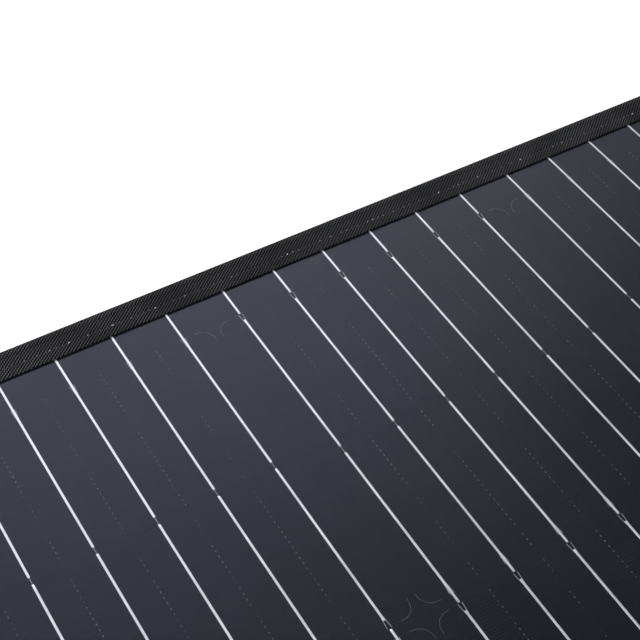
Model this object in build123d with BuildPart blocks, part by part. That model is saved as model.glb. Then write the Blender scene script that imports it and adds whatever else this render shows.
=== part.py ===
"""Flexible solar sheet: half-cut cells laminated in a thin sheet with a bound fabric edge.

The sheet lies in XY with the cells facing +Z. Rows of cells run along X. The far edge is at +Y,
and the junction box stands on the front, by the near edge at -Y. The origin is on the underside,
under the middle of the sheet. The laminate flexes in the gaps between the rows, so each row and
its stretch of edge binding is one set of pieces, with a hair's breadth of clearance between sets.
"""
import os

from build123d import *

# Cells and their ribbons (millimetres)
CELL_X = 166.0                 # a pseudo-square wafer, cut in half along its middle
CELL_Y = CELL_X / 2
CELL_CORNER = 8.3              # leg of the chamfered wafer corners, on the outer edge only
COLUMNS = 4
ROWS = 8
COLUMN_GAP = 2.5
ROW_GAP = 4.0
RIBBONS_PER_CELL = 6
RIBBON_WIDTH = 1.1
RIBBON_PITCH = CELL_X / RIBBONS_PER_CELL
BARE_AT_OUTER_EDGE = 4.2       # where a front ribbon stops short of a wafer's outer edge
BARE_AT_CUT_EDGE = 3.5         # and of its cut edge
BACK_RIBBON_STOP = 6.0         # where a rear ribbon stops short of the cell's edge

# Sheet outline
BINDING_WIDTH = 16.0
BINDING_TAPE = 0.7
MARGIN = 16.0                  # from the binding to the cells, on three sides
NEAR_MARGIN = 68.0             # the same at the junction box's end
LAMINATE_CORNER = 22.0         # corners clipped off the laminate, hidden by the binding
HINGE_CLEARANCE = 0.4          # between neighbouring rows' pieces, on the flex line

# Layers, bottom to top
Z_BACK = BINDING_TAPE
Z_REAR_RIBBON = 2.2
Z_CELL = 2.4
Z_FRONT_RIBBON = 2.6
Z_FILM = 2.8
Z_FRONT = 3.2
Z_TOP = Z_FRONT + BINDING_TAPE
FOIL = 0.2                     # thickness of a cell and of a ribbon

# Cross ribbons that join the columns at both ends
BUS_WIDTH = 5.0
BUS_INSET = 10.0               # from the far edge to the far cross ribbons' middle line
NEAR_BUS_DROP = 5.5            # from the last cells to the near cross ribbons' middle line
LEAD_WIDTH = 4.0
LEAD_DROP = 11.5               # from the last cells to the leads that run to the junction box
TAB_DROP = 27.0                # from the last cells to the tabs inside the junction box
TAB_THICKNESS = 0.4
TAB_SPACING = 28.0
TAB_SLOT_CLEARANCE = 0.3

# Corner eyelets
EYELET_INSET = 8.5             # from both edges
EYELET_BORE = 3.5
EYELET_BARREL = 4.1
EYELET_FLANGE = 6.5
EYELET_HOLE = 4.2
EYELET_METAL = 0.5
EYELET_CURL = 5.2
EYELET_CURL_Z = 0.2
WASHER_TOP = 0.45
WASHER_BORE = 4.15
WASHER_RECESS = 6.6

# Junction box
BOX_X = 112.0
BOX_Y = 50.0
BOX_GAP = 16.0                 # from the last cells to the box
BOX_WALL = 2.2
BOX_FLOOR = 1.5
BOX_HEIGHT = 12.5
BOX_CORNER = 7.0
BOX_EDGE = 0.8
WINDOW_X = 70.0                # opening in the box's floor that the tabs come up through
WINDOW_Y = 7.0
GASKET = 0.7
GASKET_WIDTH = 1.6
LID = 2.6
LID_EDGE = 1.0
POST_RADIUS = 3.6
POST_INSET = 6.2
SCREW_HOLE = 1.55
SCREW_SHANK = 1.5
SCREW_DEPTH = 8.0
SCREW_HEAD = 2.7
SCREW_HEAD_DEPTH = 1.5
SCREW_CLEARANCE = 0.1
SCREW_SLOT = 0.8

# Terminals and diodes inside the box
BLOCK_X = 78.0
BLOCK_Y = 12.0
BLOCK_Z = 2.0
BLOCK_CORNER = 1.5
BLOCK_SHIFT = 3.0              # from the box's middle, towards the tabs
CLIP_X = 8.0
CLIP_Y = 9.0
CLIP_Z = 5.0
CLIP_WALL = 1.2
DIODE_RADIUS = 2.6
DIODE_LENGTH = 9.5
DIODE_LEAD = 0.6
DIODE_LIFT = 0.3

# Cable glands
CABLE_RADIUS = 3.0
GLAND_AXIS_Z = Z_FRONT + 7.2
GLAND_BORE = 3.2
GLAND_THREAD = 4.5
GLAND_THREAD_LENGTH = 7.0
GLAND_FLANGE = 6.0
GLAND_FLANGE_THICKNESS = 2.5
GLAND_CLEARANCE = 0.1
SEAL_RADIUS = 3.9
SEAL_LENGTH = 5.0
CAP_RADIUS = 6.4
CAP_LENGTH = 9.0
CAP_BORE = 3.3
CAP_EDGE = 1.2
LOCKNUT_RADIUS = 5.6
LOCKNUT_LENGTH = 2.6

# Worked-out places
WIDTH = COLUMNS * CELL_X + (COLUMNS - 1) * COLUMN_GAP + 2 * (MARGIN + BINDING_WIDTH)
CELLS_LENGTH = ROWS * CELL_Y + (ROWS - 1) * ROW_GAP
LENGTH = CELLS_LENGTH + MARGIN + NEAR_MARGIN + 2 * BINDING_WIDTH
X_EDGE = WIDTH / 2
Y_FAR = LENGTH / 2
Y_NEAR = -LENGTH / 2
X_LAMINATE = X_EDGE - BINDING_TAPE
Y_LAMINATE_FAR = Y_FAR - BINDING_TAPE
Y_LAMINATE_NEAR = Y_NEAR + BINDING_TAPE
ROW_PITCH = CELL_Y + ROW_GAP
Y_CELLS_TOP = Y_FAR - BINDING_WIDTH - MARGIN
Y_CELLS_BOTTOM = Y_CELLS_TOP - CELLS_LENGTH
X_CELLS = WIDTH / 2 - BINDING_WIDTH - MARGIN
BOX_CENTRE_Y = Y_CELLS_BOTTOM - BOX_GAP - BOX_Y / 2
Z_BOX_TOP = Z_FRONT + BOX_HEIGHT
Z_LID = Z_BOX_TOP + GASKET
BLOCK_CENTRE_Y = BOX_CENTRE_Y + BLOCK_SHIFT
Z_CLIP_TOP = Z_FRONT + BOX_FLOOR + BLOCK_Z + CLIP_Z
EYELETS_FAR = [(side * (X_EDGE - EYELET_INSET), Y_FAR - EYELET_INSET) for side in (-1, 1)]
EYELETS_NEAR = [(side * (X_EDGE - EYELET_INSET), Y_NEAR + EYELET_INSET) for side in (-1, 1)]


def cell_top(row):
    """The +Y edge of a row's cells, row 1 being the farthest."""
    return Y_CELLS_TOP - (row - 1) * ROW_PITCH


def cell_bottom(row):
    return cell_top(row) - CELL_Y


def flex_line(row):
    """The middle of the gap between a row and the next one."""
    return cell_bottom(row) - ROW_GAP / 2


def row_far_end(row):
    """Where a row's sheets end towards +Y."""
    return Y_LAMINATE_FAR if row == 1 else flex_line(row - 1) - HINGE_CLEARANCE / 2


def row_near_end(row):
    return Y_LAMINATE_NEAR if row == ROWS else flex_line(row) + HINGE_CLEARANCE / 2


def column_centre(column):
    return (column - (COLUMNS - 1) / 2) * (CELL_X + COLUMN_GAP)


def ribbon_positions(column):
    """The x of each of a column's ribbons."""
    middle = (RIBBONS_PER_CELL - 1) / 2
    return [column_centre(column) + (i - middle) * RIBBON_PITCH for i in range(RIBBONS_PER_CELL)]


def runs_up(column):
    """Neighbouring columns carry the current opposite ways, the first one towards +Y."""
    return column % 2 == 0


def outer_edge_is_far(row):
    """Half cells are turned about in every second row, so like edges face each other."""
    return row % 2 == 1


def save(part, name):
    part.label = name
    export_step(part, f"parts/{name}.step")


def laminate_outline(row):
    """The corners of a row's plan outline, with the sheet's corners clipped at its two ends."""
    far, near = row_far_end(row), row_near_end(row)
    far_clip = LAMINATE_CORNER if row == 1 else 0
    near_clip = LAMINATE_CORNER if row == ROWS else 0
    right_side = [(X_LAMINATE, near + near_clip), (X_LAMINATE, far - far_clip)]
    if far_clip:
        right_side = right_side + [(X_LAMINATE - far_clip, far)]
    if near_clip:
        right_side = [(X_LAMINATE - near_clip, near)] + right_side
    left_side = [(-x, y) for x, y in reversed(right_side)]
    return right_side + left_side


def bus_pocket(row):
    """The plan rectangle, as (x, far y, near y), that holds a row's cells and cross ribbons."""
    far = row_far_end(row) - BINDING_TAPE * 8 if row == 1 else row_far_end(row)
    near = Y_CELLS_BOTTOM - NEAR_MARGIN / 2 if row == ROWS else row_near_end(row)
    return X_CELLS + COLUMN_GAP, far, near


def make_front_sheet(row):
    """Clear front film with its bonding layer, which reaches down to the back sheet at the rim."""
    half_x, far, near = bus_pocket(row)
    with BuildPart() as front_sheet:
        with BuildSketch(Plane.XY.offset(Z_REAR_RIBBON)):
            Polygon(*laminate_outline(row), align=None)
        extrude(amount=Z_FRONT - Z_REAR_RIBBON)
        with BuildSketch(Plane.XY.offset(Z_REAR_RIBBON)):
            with Locations((0, (far + near) / 2)):
                Rectangle(2 * half_x, far - near)
        extrude(amount=Z_FILM - Z_REAR_RIBBON, mode=Mode.SUBTRACT)
        if row == ROWS:
            with BuildSketch(Plane.XY.offset(Z_FILM)):
                with Locations(*tab_places()):
                    Rectangle(LEAD_WIDTH + 2 * TAB_SLOT_CLEARANCE,
                              TAB_THICKNESS + 2 * TAB_SLOT_CLEARANCE)
            extrude(amount=Z_FRONT - Z_FILM, mode=Mode.SUBTRACT)
    save(front_sheet.part, f"front_sheet_{row}")


def make_back_sheet(row):
    """Fibre-reinforced backing with its woven rear face."""
    with BuildPart() as back_sheet:
        with BuildSketch(Plane.XY.offset(Z_BACK)):
            Polygon(*laminate_outline(row), align=None)
        extrude(amount=Z_REAR_RIBBON - Z_BACK)
    save(back_sheet.part, f"back_sheet_{row}")


def make_cells(row):
    """Four half-cut wafers, whose outer edge keeps the chamfered corners."""
    outer = CELL_Y / 2 if outer_edge_is_far(row) else -CELL_Y / 2
    step = CELL_CORNER if outer > 0 else -CELL_CORNER
    half_x = CELL_X / 2
    outline = [(-half_x, -outer), (half_x, -outer), (half_x, outer - step),
               (half_x - CELL_CORNER, outer), (CELL_CORNER - half_x, outer), (-half_x, outer - step)]
    if outer < 0:
        outline = outline[::-1]
    middle_y = (cell_top(row) + cell_bottom(row)) / 2
    with BuildPart() as cells:
        with BuildSketch(Plane.XY.offset(Z_CELL)):
            with Locations(*[(column_centre(column), middle_y) for column in range(COLUMNS)]):
                Polygon(*outline, align=None)
        extrude(amount=FOIL)
    save(cells.part, f"cells_{row}")


def ribbon_profile(start, edge, end, level, end_level):
    """Side view of a ribbon: level from start to the cell's edge, then bent to its end."""
    return [(start, level), (edge, level), (end, end_level),
            (end, end_level + FOIL), (edge, level + FOIL), (start, level + FOIL)]


def front_run(row, column):
    """A ribbon on the cell's face, and down into the gap that it leaves by."""
    bare_far = BARE_AT_OUTER_EDGE if outer_edge_is_far(row) else BARE_AT_CUT_EDGE
    bare_near = BARE_AT_CUT_EDGE if outer_edge_is_far(row) else BARE_AT_OUTER_EDGE
    if runs_up(column):
        start, edge, end = cell_bottom(row) + bare_near, cell_top(row), row_far_end(row)
        last = row == 1
        bus = Y_FAR - BUS_INSET + BUS_WIDTH / 2
    else:
        start, edge, end = cell_top(row) - bare_far, cell_bottom(row), row_near_end(row)
        last = row == ROWS
        bus = Y_CELLS_BOTTOM - NEAR_BUS_DROP - BUS_WIDTH / 2
    if last:
        return ribbon_profile(start, edge, bus, Z_FRONT_RIBBON, Z_FRONT_RIBBON)
    return ribbon_profile(start, edge, end, Z_FRONT_RIBBON, Z_CELL)


def rear_run(row, column):
    """The ribbon from the neighbouring cell's face, soldered under this cell."""
    if runs_up(column):
        start, edge, end = cell_top(row) - BACK_RIBBON_STOP, cell_bottom(row), row_near_end(row)
        last = row == ROWS
        bus = Y_CELLS_BOTTOM - NEAR_BUS_DROP - BUS_WIDTH / 2
    else:
        start, edge, end = cell_bottom(row) + BACK_RIBBON_STOP, cell_top(row), row_far_end(row)
        last = row == 1
        bus = Y_FAR - BUS_INSET + BUS_WIDTH / 2
    if last:
        return ribbon_profile(start, edge, bus, Z_REAR_RIBBON, Z_REAR_RIBBON)
    return ribbon_profile(start, edge, end, Z_REAR_RIBBON, Z_CELL)


def make_ribbons(row):
    """Tinned copper ribbons of one row: six on and six under each cell."""
    with BuildPart() as ribbons:
        for column in range(COLUMNS):
            planes = [Plane.YZ.offset(x) for x in ribbon_positions(column)]
            for run in (front_run, rear_run):
                with BuildSketch(*planes):
                    with BuildLine():
                        Polyline(*run(row, column), close=True)
                    make_face()
                extrude(amount=RIBBON_WIDTH / 2, both=True)
    save(ribbons.part, f"ribbons_{row}")


def make_side_binding(row):
    """Edge tape folded round the sheet's left and right sides."""
    far = Y_FAR - BINDING_WIDTH if row == 1 else row_far_end(row)
    near = Y_NEAR + BINDING_WIDTH if row == ROWS else row_near_end(row)
    middle_y = (far + near) / 2
    fold_x = X_EDGE - BINDING_WIDTH / 2
    pocket_x = fold_x - BINDING_TAPE / 2
    with BuildPart() as side_binding:
        with Locations((-fold_x, middle_y, Z_TOP / 2), (fold_x, middle_y, Z_TOP / 2)):
            Box(BINDING_WIDTH, far - near, Z_TOP)
        with Locations((-pocket_x, middle_y, Z_TOP / 2), (pocket_x, middle_y, Z_TOP / 2)):
            Box(BINDING_WIDTH - BINDING_TAPE, far - near, Z_TOP - 2 * BINDING_TAPE,
                mode=Mode.SUBTRACT)
    save(side_binding.part, f"side_binding_{row}")


def make_end_binding(name, outer_y, inward, eyelets):
    """Edge tape folded round one end, with the corners and their two eyelet holes."""
    middle_y = outer_y + inward * BINDING_WIDTH / 2
    pocket_y = middle_y + inward * BINDING_TAPE / 2
    with BuildPart() as end_binding:
        with Locations((0, middle_y, Z_TOP / 2)):
            Box(WIDTH, BINDING_WIDTH, Z_TOP)
        with Locations((0, pocket_y, Z_TOP / 2)):
            Box(WIDTH - 2 * BINDING_TAPE, BINDING_WIDTH - BINDING_TAPE,
                Z_TOP - 2 * BINDING_TAPE, mode=Mode.SUBTRACT)
        with BuildSketch():
            with Locations(*eyelets):
                Circle(EYELET_HOLE)
        extrude(amount=Z_TOP, mode=Mode.SUBTRACT)
        with BuildSketch():
            with Locations(*eyelets):
                Circle(WASHER_RECESS)
        extrude(amount=WASHER_TOP, mode=Mode.SUBTRACT)
    save(end_binding.part, name)


def upright_plane(x, y):
    """A vertical plane through a point, whose own axes are the radius and the height."""
    return Plane(origin=(x, y, 0), x_dir=(1, 0, 0), z_dir=(0, -1, 0))


def make_eyelets(name, places):
    """Eyelets with a flange on top and their barrels curled over at the bottom."""
    top = Z_TOP + EYELET_METAL
    outline = [(EYELET_BORE, 0), (EYELET_CURL, 0), (EYELET_CURL, EYELET_CURL_Z),
               (EYELET_BARREL, EYELET_CURL_Z), (EYELET_BARREL, Z_TOP), (EYELET_FLANGE, Z_TOP),
               (EYELET_FLANGE - EYELET_METAL, top), (EYELET_BORE, top)]
    with BuildPart() as eyelets:
        for x, y in places:
            with BuildSketch(upright_plane(x, y)):
                Polygon(*outline, align=None)
            revolve(axis=Axis((x, y, 0), (0, 0, 1)))
    save(eyelets.part, name)


def make_eyelet_washers(name, places):
    """The washers that the barrels are curled over, pressed into the tape."""
    with BuildPart() as washers:
        with BuildSketch(Plane.XY.offset(EYELET_CURL_Z)):
            with Locations(*places):
                Circle(EYELET_FLANGE)
                Circle(WASHER_BORE, mode=Mode.SUBTRACT)
        extrude(amount=WASHER_TOP - EYELET_CURL_Z)
    save(washers.part, name)


def column_span(first, last):
    """The x range from one column's first ribbon to another's last."""
    return ribbon_positions(first)[0] - RIBBON_WIDTH, ribbon_positions(last)[-1] + RIBBON_WIDTH


def strip(low_x, high_x, low_y, high_y):
    with Locations(((low_x + high_x) / 2, (low_y + high_y) / 2)):
        Rectangle(high_x - low_x, high_y - low_y)


def tab_places():
    """Where the three leads stand up into the junction box."""
    return [(x, Y_CELLS_BOTTOM - TAB_DROP) for x in (-TAB_SPACING, 0, TAB_SPACING)]


def make_far_bus():
    """Two cross ribbons under the far binding: first to second column, third to fourth."""
    y = Y_FAR - BUS_INSET
    with BuildPart() as far_bus:
        with BuildSketch(Plane.XY.offset(Z_CELL)):
            for first in (0, 2):
                low_x, high_x = column_span(first, first + 1)
                strip(low_x, high_x, y - BUS_WIDTH / 2, y + BUS_WIDTH / 2)
        extrude(amount=FOIL)
    save(far_bus.part, "far_bus_ribbons")


def make_near_bus():
    """Cross ribbons at the near end and their leads, which stand up and bend onto the terminals."""
    bus_y = Y_CELLS_BOTTOM - NEAR_BUS_DROP
    lead_y = Y_CELLS_BOTTOM - LEAD_DROP
    tab_y = Y_CELLS_BOTTOM - TAB_DROP
    half_bus, half_lead = BUS_WIDTH / 2, LEAD_WIDTH / 2
    outer_x, inner_x = column_span(0, 0)
    foot_x = half_lead - TAB_SPACING
    with BuildPart() as near_bus:
        with BuildSketch(Plane.XY.offset(Z_CELL)):
            strip(outer_x, inner_x, bus_y - half_bus, bus_y + half_bus)
            strip(inner_x - LEAD_WIDTH, inner_x, lead_y - half_lead, bus_y)
            strip(inner_x - LEAD_WIDTH, foot_x, lead_y - half_lead, lead_y + half_lead)
            strip(foot_x - LEAD_WIDTH, foot_x, tab_y, lead_y)
            mirror(about=Plane.YZ)
            strip(*column_span(1, 2), bus_y - half_bus, bus_y + half_bus)
            strip(-half_lead, half_lead, tab_y, bus_y)
        extrude(amount=FOIL)
        with BuildSketch(Plane.XY.offset(Z_CELL)):
            with Locations(*tab_places()):
                Rectangle(LEAD_WIDTH, TAB_THICKNESS)
        extrude(amount=Z_CLIP_TOP + TAB_THICKNESS - Z_CELL)
        with BuildSketch(Plane.XY.offset(Z_CLIP_TOP)):
            for x, y in tab_places():
                strip(x - half_lead, x + half_lead, BLOCK_CENTRE_Y, y)
        extrude(amount=TAB_THICKNESS)
    save(near_bus.part, "near_bus_ribbons")


def box_outline(inset=0.0):
    """The junction box's rounded plan outline, drawn smaller by the inset."""
    with Locations((0, BOX_CENTRE_Y)):
        RectangleRounded(BOX_X - 2 * inset, BOX_Y - 2 * inset, BOX_CORNER - inset)


def post_places():
    return [(x * (BOX_X / 2 - POST_INSET), BOX_CENTRE_Y + y * (BOX_Y / 2 - POST_INSET))
            for x in (-1, 1) for y in (-1, 1)]


def gland_plane(side, distance):
    """A plane across a gland's axis, facing outward, at a distance from the box's side wall."""
    origin = (side * (BOX_X / 2 + distance), BOX_CENTRE_Y, GLAND_AXIS_Z)
    return Plane(origin=origin, x_dir=(0, 1, 0), z_dir=(side, 0, 0))


def gland_planes(distance):
    return [gland_plane(side, distance) for side in (-1, 1)]


def make_box_base():
    """Tray with screw posts, a floor window for the leads and a gland hole in each end wall."""
    with BuildPart() as base:
        with BuildSketch(Plane.XY.offset(Z_FRONT)):
            box_outline()
        extrude(amount=BOX_HEIGHT)
        with BuildSketch(Plane.XY.offset(Z_FRONT + BOX_FLOOR)):
            box_outline(BOX_WALL)
        extrude(amount=BOX_HEIGHT, mode=Mode.SUBTRACT)
        fillet(base.edges().filter_by(Axis.Z, reverse=True).group_by(Axis.Z)[0], BOX_EDGE)
        with BuildSketch(Plane.XY.offset(Z_FRONT + BOX_FLOOR)):
            with Locations(*post_places()):
                Circle(POST_RADIUS)
        extrude(amount=BOX_HEIGHT - BOX_FLOOR)
        with BuildSketch(Plane.XY.offset(Z_BOX_TOP)):
            with Locations(*post_places()):
                Circle(SCREW_HOLE)
        extrude(amount=-SCREW_DEPTH, mode=Mode.SUBTRACT)
        with BuildSketch(Plane.XY.offset(Z_FRONT)):
            with Locations((0, Y_CELLS_BOTTOM - TAB_DROP)):
                Rectangle(WINDOW_X, WINDOW_Y)
        extrude(amount=BOX_FLOOR, mode=Mode.SUBTRACT)
        with BuildSketch(*gland_planes(0)):
            Circle(GLAND_THREAD + GLAND_CLEARANCE)
        extrude(amount=-BOX_WALL, mode=Mode.SUBTRACT)
    save(base.part, "junction_box_base")


def make_box_gasket():
    with BuildPart() as gasket:
        with BuildSketch(Plane.XY.offset(Z_BOX_TOP)):
            box_outline((BOX_WALL - GASKET_WIDTH) / 2)
            with Locations((0, BOX_CENTRE_Y)):
                inset = (BOX_WALL + GASKET_WIDTH) / 2
                RectangleRounded(BOX_X - 2 * inset, BOX_Y - 2 * inset, BOX_CORNER - inset,
                                 mode=Mode.SUBTRACT)
        extrude(amount=GASKET)
    save(gasket.part, "junction_box_gasket")


def make_box_lid():
    """Lid with rounded upper edges and four counterbored screw holes."""
    with BuildPart() as lid:
        with BuildSketch(Plane.XY.offset(Z_LID)):
            box_outline()
        extrude(amount=LID)
        fillet(lid.edges().group_by(Axis.Z)[-1], LID_EDGE)
        with Locations(*[(x, y, Z_LID + LID) for x, y in post_places()]):
            CounterBoreHole(SCREW_HOLE, SCREW_HEAD + SCREW_CLEARANCE,
                            SCREW_HEAD_DEPTH + SCREW_CLEARANCE)
    save(lid.part, "junction_box_lid")


def make_lid_screws():
    """Four pan-head screws with a cross slot."""
    head_base = Z_LID + LID - SCREW_HEAD_DEPTH - SCREW_CLEARANCE
    with BuildPart() as screws:
        with BuildSketch(Plane.XY.offset(head_base)):
            with Locations(*post_places()):
                Circle(SCREW_HEAD)
        extrude(amount=SCREW_HEAD_DEPTH)
        with BuildSketch(Plane.XY.offset(head_base)):
            with Locations(*post_places()):
                Circle(SCREW_SHANK)
        extrude(amount=-SCREW_DEPTH)
        with BuildSketch(Plane.XY.offset(head_base + SCREW_HEAD_DEPTH)):
            with Locations(*post_places()):
                Rectangle(SCREW_HEAD, SCREW_SLOT)
                Rectangle(SCREW_SLOT, SCREW_HEAD)
        extrude(amount=-SCREW_HEAD_DEPTH / 2, mode=Mode.SUBTRACT)
    save(screws.part, "lid_screws")


def make_terminals():
    """Insulating block, its three clips, and the two bypass diodes between them."""
    with BuildPart() as block:
        with BuildSketch(Plane.XY.offset(Z_FRONT + BOX_FLOOR)):
            with Locations((0, BLOCK_CENTRE_Y)):
                RectangleRounded(BLOCK_X, BLOCK_Y, BLOCK_CORNER)
        extrude(amount=BLOCK_Z)
    save(block.part, "terminal_block")

    clip_z = Z_CLIP_TOP - CLIP_Z / 2
    with BuildPart() as clips:
        with Locations(*[(x, BLOCK_CENTRE_Y, clip_z) for x in (-TAB_SPACING, 0, TAB_SPACING)]):
            Box(CLIP_X, CLIP_Y, CLIP_Z)
            Box(CLIP_X / 2, CLIP_Y, CLIP_Z - 2 * CLIP_WALL, mode=Mode.SUBTRACT)
    save(clips.part, "terminal_clips")

    diode_z = Z_CLIP_TOP - CLIP_Z / 2 + DIODE_LIFT
    middles = [Plane(origin=(x, BLOCK_CENTRE_Y, diode_z), z_dir=(1, 0, 0))
               for x in (-TAB_SPACING / 2, TAB_SPACING / 2)]
    with BuildPart() as diodes:
        with BuildSketch(*middles):
            Circle(DIODE_RADIUS)
        extrude(amount=DIODE_LENGTH / 2, both=True)
        with BuildSketch(*middles):
            Circle(DIODE_LEAD)
        extrude(amount=(TAB_SPACING - CLIP_X) / 2, both=True)
    save(diodes.part, "bypass_diodes")


def make_glands():
    """Empty cable glands in the box's end walls: body, locknut, rubber seal and domed cap."""
    body_reach = GLAND_FLANGE_THICKNESS + GLAND_THREAD_LENGTH
    with BuildPart() as bodies:
        with BuildSketch(*gland_planes(0)):
            Circle(GLAND_FLANGE)
        extrude(amount=GLAND_FLANGE_THICKNESS)
        with BuildSketch(*gland_planes(-BOX_WALL - LOCKNUT_LENGTH)):
            Circle(GLAND_THREAD)
        extrude(amount=BOX_WALL + LOCKNUT_LENGTH + body_reach)
        with BuildSketch(*gland_planes(-BOX_WALL - LOCKNUT_LENGTH)):
            Circle(GLAND_BORE)
        extrude(amount=BOX_WALL + LOCKNUT_LENGTH + body_reach, mode=Mode.SUBTRACT)
        with BuildSketch(*gland_planes(body_reach)):
            Circle(SEAL_RADIUS)
        extrude(amount=-SEAL_LENGTH, mode=Mode.SUBTRACT)
    save(bodies.part, "gland_bodies")

    with BuildPart() as locknuts:
        with BuildSketch(*gland_planes(-BOX_WALL - LOCKNUT_LENGTH)):
            RegularPolygon(LOCKNUT_RADIUS, 6)
            Circle(GLAND_THREAD + GLAND_CLEARANCE / 2, mode=Mode.SUBTRACT)
        extrude(amount=LOCKNUT_LENGTH)
    save(locknuts.part, "gland_locknuts")

    with BuildPart() as seals:
        with BuildSketch(*gland_planes(body_reach - SEAL_LENGTH)):
            Circle(SEAL_RADIUS)
            Circle(CABLE_RADIUS, mode=Mode.SUBTRACT)
        extrude(amount=SEAL_LENGTH)
    save(seals.part, "gland_seals")

    with BuildPart() as caps:
        with BuildSketch(*gland_planes(GLAND_FLANGE_THICKNESS)):
            Circle(CAP_RADIUS)
        extrude(amount=CAP_LENGTH)
        chamfer([edge for edge in caps.edges() if abs(edge.center().X) > BOX_X / 2 + CAP_LENGTH],
                CAP_EDGE)
        with BuildSketch(*gland_planes(GLAND_FLANGE_THICKNESS)):
            Circle(GLAND_THREAD + GLAND_CLEARANCE / 2)
        extrude(amount=GLAND_THREAD_LENGTH, mode=Mode.SUBTRACT)
        with BuildSketch(*gland_planes(GLAND_FLANGE_THICKNESS)):
            Circle(CAP_BORE)
        extrude(amount=CAP_LENGTH, mode=Mode.SUBTRACT)
    save(caps.part, "gland_caps")


os.makedirs("parts", exist_ok=True)
for row_number in range(1, ROWS + 1):
    make_front_sheet(row_number)
    make_cells(row_number)
    make_ribbons(row_number)
    make_back_sheet(row_number)
    make_side_binding(row_number)
make_end_binding("far_binding", Y_FAR, -1, EYELETS_FAR)
make_end_binding("near_binding", Y_NEAR, 1, EYELETS_NEAR)
make_eyelets("eyelets_far", EYELETS_FAR)
make_eyelets("eyelets_near", EYELETS_NEAR)
make_eyelet_washers("eyelet_washers_far", EYELETS_FAR)
make_eyelet_washers("eyelet_washers_near", EYELETS_NEAR)
make_far_bus()
make_near_bus()
make_box_base()
make_box_gasket()
make_box_lid()
make_lid_screws()
make_terminals()
make_glands()
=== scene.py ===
import math
import random

import bpy
from mathutils import Euler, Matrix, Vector, noise


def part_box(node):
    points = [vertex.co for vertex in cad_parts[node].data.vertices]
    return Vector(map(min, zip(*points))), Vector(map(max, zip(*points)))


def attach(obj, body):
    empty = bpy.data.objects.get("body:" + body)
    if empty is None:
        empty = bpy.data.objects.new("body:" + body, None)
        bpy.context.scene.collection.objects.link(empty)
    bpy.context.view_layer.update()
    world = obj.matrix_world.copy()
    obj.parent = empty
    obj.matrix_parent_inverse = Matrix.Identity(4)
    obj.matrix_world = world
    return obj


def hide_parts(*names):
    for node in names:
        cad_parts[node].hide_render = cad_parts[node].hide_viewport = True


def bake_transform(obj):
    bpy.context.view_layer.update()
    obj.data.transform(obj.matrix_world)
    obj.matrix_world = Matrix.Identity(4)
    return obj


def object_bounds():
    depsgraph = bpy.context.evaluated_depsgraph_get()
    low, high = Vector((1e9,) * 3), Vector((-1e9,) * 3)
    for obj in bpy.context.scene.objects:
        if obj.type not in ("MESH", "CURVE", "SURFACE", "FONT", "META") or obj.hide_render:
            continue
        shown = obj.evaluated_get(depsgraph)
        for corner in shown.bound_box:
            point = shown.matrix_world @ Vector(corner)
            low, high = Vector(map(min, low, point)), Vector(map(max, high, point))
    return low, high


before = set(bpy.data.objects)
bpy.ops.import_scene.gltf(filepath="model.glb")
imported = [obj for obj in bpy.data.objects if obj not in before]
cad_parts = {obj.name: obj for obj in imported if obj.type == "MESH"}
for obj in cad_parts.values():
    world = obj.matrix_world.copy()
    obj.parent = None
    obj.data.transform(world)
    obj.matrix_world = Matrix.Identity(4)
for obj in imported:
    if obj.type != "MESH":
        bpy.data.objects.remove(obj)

cad_low, cad_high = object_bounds()
random.seed(41)
MM = 0.001

# ---------------------------------------------------------------- places, from the frame
ROWS = sum(1 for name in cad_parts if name.startswith("cells_"))
COLUMNS = 4
RIBBONS = 6                                  # on each cell
COLUMN_GAP = 2.5 * MM
EDGE_X = cad_high[0]
FAR_Y, NEAR_Y = cad_high[1], cad_low[1]
TAPE_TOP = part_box("far_binding")[1][2]
TAPE_WIDTH = FAR_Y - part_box("far_binding")[0][1]
FILM_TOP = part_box("front_sheet_4")[1][2]
BACK_FACE, CORE_TOP = (corner[2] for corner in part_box("back_sheet_4"))
CELL_UNDERSIDE, CELL_FACE = (corner[2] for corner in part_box("cells_4"))
RIBBON_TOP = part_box("ribbons_4")[1][2]
CELLS_LEFT, CELLS_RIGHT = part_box("cells_1")[0][0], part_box("cells_1")[1][0]
CELL_X = (CELLS_RIGHT - CELLS_LEFT - (COLUMNS - 1) * COLUMN_GAP) / COLUMNS
COLUMN_PITCH = CELL_X + COLUMN_GAP
RIBBON_PITCH = CELL_X / RIBBONS
CELL_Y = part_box("cells_1")[1][1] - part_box("cells_1")[0][1]
ROW_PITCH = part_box("cells_1")[0][1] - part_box("cells_2")[0][1]
FAR_BUS_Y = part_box("far_bus_ribbons")[1][1]
NEAR_BUS_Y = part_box("ribbons_8")[0][1]

# ---------------------------------------------------------------- sizes of what only shows
RIBBON_WIDTH = 1.05 * MM
FOIL = 0.17 * MM
WAFER_CORNER = 8.3 * MM
BARE_OUTER, BARE_CUT = 4.2 * MM, 3.5 * MM    # where a ribbon stops short of a wafer's edges
PRINT_WIDTH = 0.26 * MM
PRINT_LIFT = 0.015 * MM
FORK_SPREAD, FORK_FOOT = 1.0 * MM, 0.55 * MM
FINGER_PITCH = 1.4 * MM
FILL_TOP = CELL_FACE - 0.02 * MM             # the black fill is all but flush with the cells
FILL_SLOPE = 4.0 * MM                        # and slopes down from the last of them
LAMINATE_OVERLAP = 4.0 * MM                  # how far the laminate runs in under the tape
STITCH = 3.1 * MM
STITCH_INSET = 10.7 * MM                     # from the tape's fold
THREAD = 0.19 * MM                           # radius
LINT_CHANCE = 0.8                            # of a tuft at a stitch's hole
LINT_CLEAR = 3 * MM                          # no tuft lies nearer than this to a bend line
EYELET_INSET = 8.5 * MM
EYELET_HOLE = 4.1 * MM                       # radius, in the tape
EYELET_FLANGE = 6.5 * MM
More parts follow.
